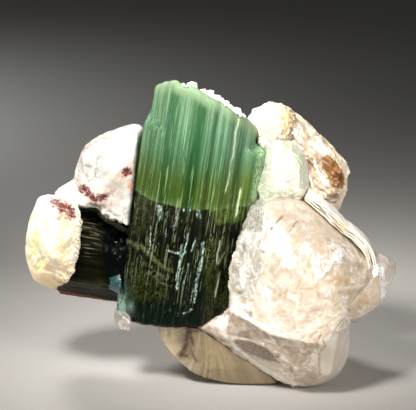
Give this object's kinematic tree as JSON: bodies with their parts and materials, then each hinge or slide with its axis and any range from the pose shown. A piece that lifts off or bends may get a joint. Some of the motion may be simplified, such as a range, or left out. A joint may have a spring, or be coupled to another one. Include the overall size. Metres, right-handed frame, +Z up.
{
  "type": "tourmaline on mica matrix",
  "caption": "Mineral specimen: a thick green and black tourmaline prism with a smaller one, grown on quartz, feldspar and brown mica.",
  "frame": {"origin": "middle of the flat foot that the specimen rests on", "axes": "+X to the right, +Y to the back and +Z up, as seen from the front, which is -Y"},
  "size_m": [0.0425, 0.0278, 0.0367],
  "materials": {
    "tourmaline": "glassy, striated",
    "dark_tourmaline": "glassy, striated",
    "quartz": "milky, glassy",
    "white_quartz": "milky, glassy",
    "feldspar": "satin",
    "pale_feldspar": "satin",
    "mica": "pearly sheets",
    "silver_mica": "pearly sheets",
    "fan_mica": "dull, ribbed",
    "albite": "sugary"
  },
  "bodies": {
    "root": {"tourmaline_main": "tourmaline", "tourmaline_side": "dark_tourmaline", "quartz_right": "quartz", "quartz_left": "white_quartz", "quartz_nub": "quartz", "quartz_chip_low": "white_quartz", "quartz_chip_side": "white_quartz", "feldspar_knob": "feldspar", "feldspar_upper": "feldspar", "feldspar_pale": "pale_feldspar", "mica_matrix": "mica", "mica_book": "silver_mica", "mica_fan": "fan_mica", "albite_crust": "albite"}
  },
  "joints": []
}
